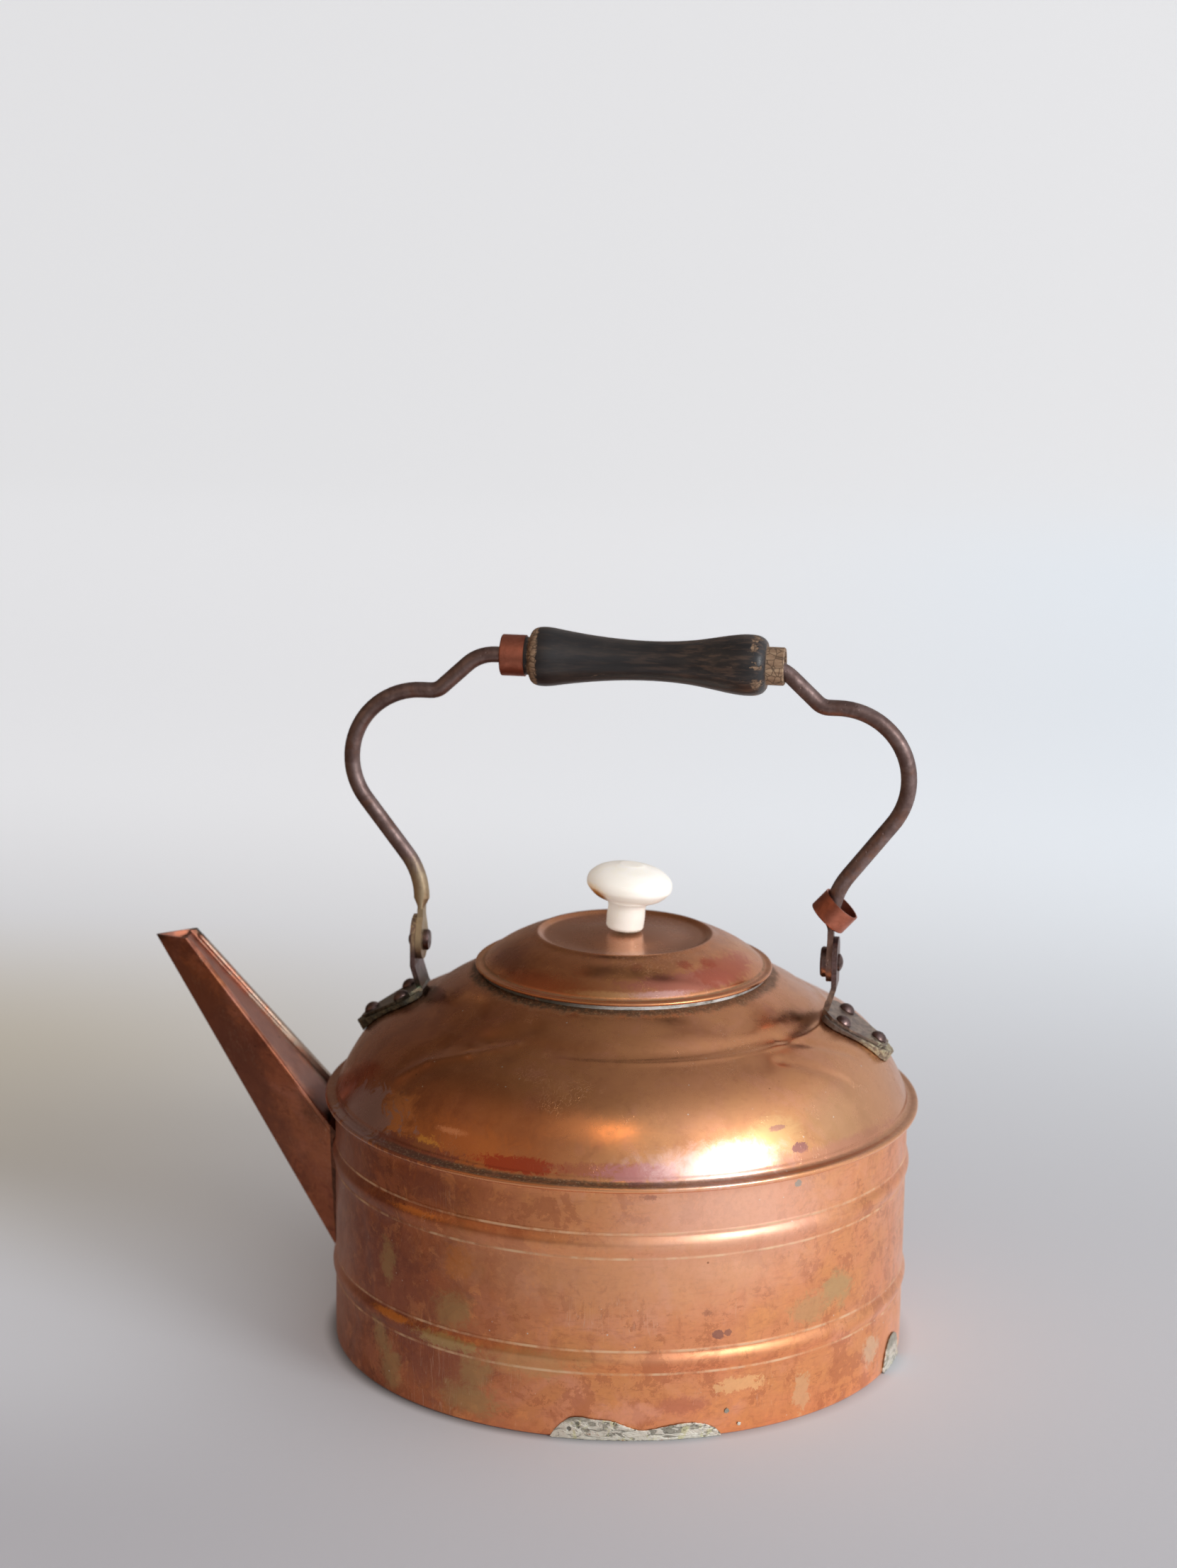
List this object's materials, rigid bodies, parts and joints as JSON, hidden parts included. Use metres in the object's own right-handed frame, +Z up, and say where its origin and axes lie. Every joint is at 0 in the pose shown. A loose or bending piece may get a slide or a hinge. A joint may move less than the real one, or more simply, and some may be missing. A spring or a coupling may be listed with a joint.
{
  "type": "kettle",
  "caption": "Drum-shaped copper kettle with a domed shoulder, straight tapering spout, lift-off lid with a mushroom knob, and a swinging bail handle with a turned grip.",
  "frame": {"origin": "centre of the flat underside of the base, on the resting plane", "axes": "+Z up; the spout points along -X; the bail's pivot axis runs along X; -Y is the side seen when the spout is on the left"},
  "size_m": [0.296, 0.226, 0.2738],
  "materials": {
    "wall_copper": "tarnished satin copper",
    "dome_copper": "brown tarnished copper",
    "spout_copper": "red-brown oxidised copper",
    "tinned_copper": "worn hot-dipped tin",
    "soft_solder": "dull lumpy solder",
    "bracket_metal": "dull tarnished sheet",
    "rivet_metal": "dark tarnished",
    "rod_iron": "dark purple-brown lacquer over iron, worn",
    "grip_wood": "worn black paint on turned wood",
    "ferrule_copper": "satin copper",
    "knob_ceramic": "gloss ivory glaze, stained under the cap",
    "screw_steel": "dull plated steel"
  },
  "bodies": {
    "kettle": {"body_wall": "wall_copper", "base_pan": "wall_copper", "shoulder_dome": "dome_copper", "mouth_collar": "tinned_copper", "spout_side_shell": "spout_copper", "spout_top_plate": "spout_copper", "spout_solder": "soft_solder", "solder_repairs": "soft_solder", "bracket_solder": "soft_solder", "spout_bracket": "bracket_metal", "rear_bracket": "bracket_metal", "bracket_rivets": "rivet_metal", "spout_pivot_rivet": "rivet_metal", "rear_pivot_rivet": "rivet_metal"},
    "bail": {"bail_rod": "rod_iron"},
    "hand_grip": {"grip": "grip_wood", "fitted_ferrule": "ferrule_copper"},
    "hung_ferrule": {"loose_ferrule": "ferrule_copper"},
    "lid": {"lid_cover": "dome_copper", "lid_skirt": "tinned_copper", "lid_knob": "knob_ceramic", "knob_screw": "screw_steel", "knob_washer": "screw_steel"}
  },
  "joints": [
    {"name": "bail_swing", "type": "hinge", "parent": "kettle", "child": "bail", "pos_m": [0, 0, 0.1506], "axis": [1, 0, 0], "range_deg": [-100, 100]},
    {"name": "grip_spin", "type": "hinge", "parent": "bail", "child": "hand_grip", "pos_m": [0, 0, 0.2624], "axis": [1, 0, 0], "continuous": true},
    {"name": "hung_ferrule_rock", "type": "hinge", "parent": "bail", "child": "hung_ferrule", "pos_m": [0.0782, 0, 0.1656], "axis": [0, -1, 0], "range_deg": [0, 36]},
    {"name": "lid_lift", "type": "slide", "parent": "kettle", "child": "lid", "axis": [0, 0, 1], "range_m": [0, 0.045]}
  ]
}
